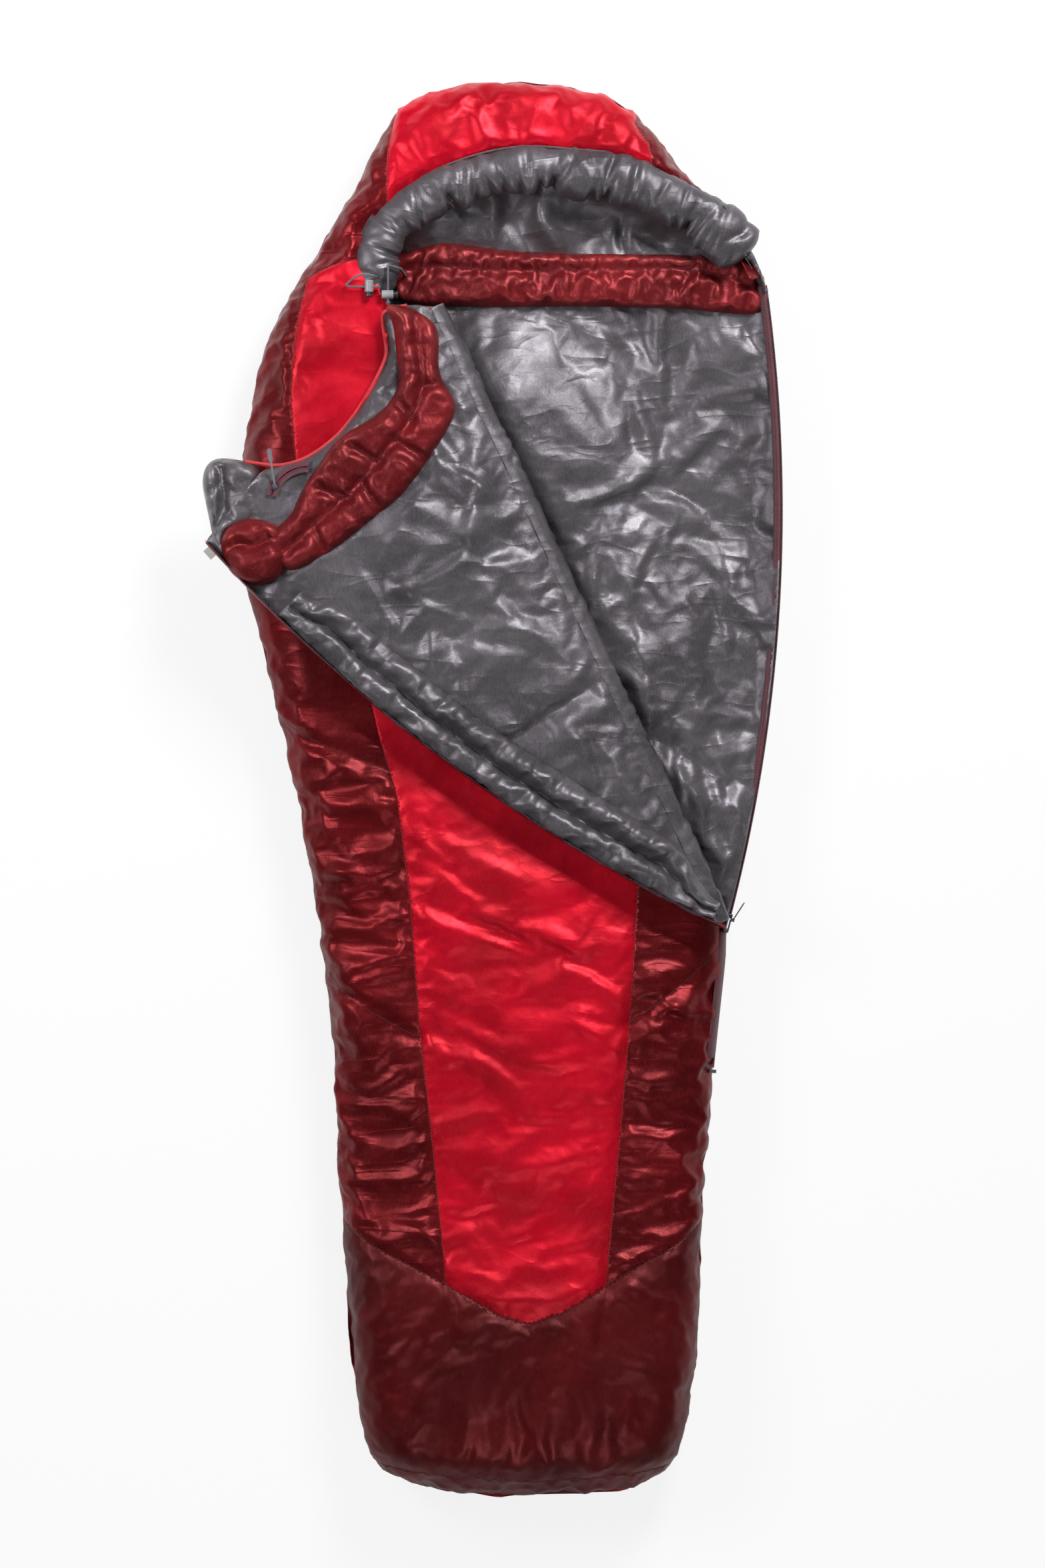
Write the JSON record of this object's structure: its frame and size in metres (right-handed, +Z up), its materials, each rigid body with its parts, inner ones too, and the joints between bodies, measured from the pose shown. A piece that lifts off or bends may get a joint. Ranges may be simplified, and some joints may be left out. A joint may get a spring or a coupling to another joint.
{
  "type": "mummy sleeping bag",
  "caption": "Insulated mummy sleeping bag with a drawcord hood, padded collars and a side zip whose front corner folds back to open it.",
  "frame": {"origin": "on the floor under the foot centreline, at mid length", "axes": "+Y from foot to hood, +X towards the side zip, +Z up from the floor"},
  "size_m": [0.858, 2.1001, 0.1984],
  "materials": {
    "shell_red": "satin ripstop nylon",
    "shell_maroon": "satin ripstop nylon",
    "shell_dark_maroon": "satin ripstop nylon",
    "liner_grey": "soft satin taffeta",
    "insulation": "synthetic fill",
    "collar_maroon": "satin ripstop nylon",
    "cord": "braided cord",
    "lock_light": "matte",
    "lock_dark": "matte",
    "spring_steel": "bright",
    "zip_tape": "woven tape",
    "zip_coil": "moulded nylon coil",
    "zip_metal": "painted die cast",
    "webbing": "woven",
    "tab_white": "hook and loop tab"
  },
  "bodies": {
    "bag": {"anti_snag_strip": "webbing", "back_collar": "collar_maroon", "back_insulation": "insulation", "back_liner": "liner_grey", "back_outer_shell": "shell_maroon", "collar_cord": "cord", "footbox_end_panel": "shell_dark_maroon", "footbox_insulation": "insulation", "footbox_liner": "liner_grey", "footbox_shell": "shell_dark_maroon", "front_center_panel": "shell_red", "front_insulation": "insulation", "front_left_panel": "shell_maroon", "front_liner": "liner_grey", "front_right_panel": "shell_maroon", "hood_crown_panel": "shell_red", "hood_drawcord": "cord", "hood_insulation": "insulation", "hood_left_panel": "shell_maroon", "hood_liner": "liner_grey", "hood_right_panel": "shell_maroon", "hood_rim_tube": "liner_grey", "zip_bottom_stop": "zip_metal", "zip_coil_back": "zip_coil", "zip_coil_lower": "zip_coil", "zip_tape_back": "zip_tape", "zip_tape_lower": "zip_tape", "zip_top_stop": "zip_metal"},
    "flap": {"flap_center_panel": "shell_red", "flap_side_panel": "shell_maroon", "flap_insulation": "insulation", "flap_liner": "liner_grey", "flap_zip_tape": "zip_tape", "flap_zip_coil": "zip_coil", "flap_draft_tube": "liner_grey", "flap_collar": "collar_maroon", "flap_neck_piping": "shell_red", "flap_neck_lip": "shell_maroon", "closure_tab": "tab_white", "pocket_bag": "liner_grey", "pocket_zip_tape": "zip_tape", "pocket_zip_coil": "zip_coil"},
    "zip_slider": {"zip_slider": "zip_metal"},
    "zip_pull": {"zip_pull": "zip_metal"},
    "pocket_slider": {"pocket_slider": "zip_metal"},
    "pocket_pull": {"pocket_pull_cord": "cord"},
    "hood_lock": {"hood_cord_lock": "lock_light", "hood_lock_spring": "spring_steel"},
    "hood_lock_button": {"hood_lock_button": "lock_light"},
    "collar_lock": {"collar_cord_lock": "lock_dark", "collar_lock_spring": "spring_steel"},
    "collar_lock_button": {"collar_lock_button": "lock_dark"}
  },
  "joints": [
    {"name": "flap_fold", "type": "hinge", "parent": "bag", "child": "flap", "pos_m": [0.29072, -0.1833, 0.132], "axis": [-0.4222, 0.9065, 0], "range_deg": [0, 179.99]},
    {"name": "zip_slider_travel", "type": "hinge", "parent": "bag", "child": "zip_slider", "pos_m": [-2.0153, 0.4139, 0.08], "axis": [0, 0, 1], "range_deg": [0, 22.2]},
    {"name": "zip_pull_swing", "type": "hinge", "parent": "zip_slider", "child": "zip_pull", "pos_m": [0.3099, -0.19379, 0.08], "axis": [0, 0, 1], "range_deg": [-98, 20]},
    {"name": "pocket_slider_travel", "type": "hinge", "parent": "flap", "child": "pocket_slider", "pos_m": [-0.31706, 0.41876, 0.178], "axis": [0, 0, 1], "range_deg": [-50, 0]},
    {"name": "pocket_pull_swing", "type": "hinge", "parent": "pocket_slider", "child": "pocket_pull", "pos_m": [-0.36474, 0.44411, 0.185], "axis": [0, 0, 1], "range_deg": [-10, 60]},
    {"name": "hood_lock_slide", "type": "slide", "parent": "bag", "child": "hood_lock", "axis": [1, 0, 0], "range_m": [-0.012, 0.004]},
    {"name": "hood_lock_press", "type": "slide", "parent": "hood_lock", "child": "hood_lock_button", "axis": [0, 1, 0], "range_m": [0, 0.003], "stiffness_N_per_m": 300, "deforming": ["hood_lock_spring"]},
    {"name": "collar_lock_slide", "type": "slide", "parent": "bag", "child": "collar_lock", "axis": [0, 1, 0], "range_m": [0, 0.025]},
    {"name": "collar_lock_press", "type": "slide", "parent": "collar_lock", "child": "collar_lock_button", "axis": [-1, 0, 0], "range_m": [0, 0.003], "stiffness_N_per_m": 300, "deforming": ["collar_lock_spring"]}
  ],
  "couplings": [
    {"joint": "zip_slider_travel", "follows": "flap_fold", "ratio": 0.12333}
  ]
}
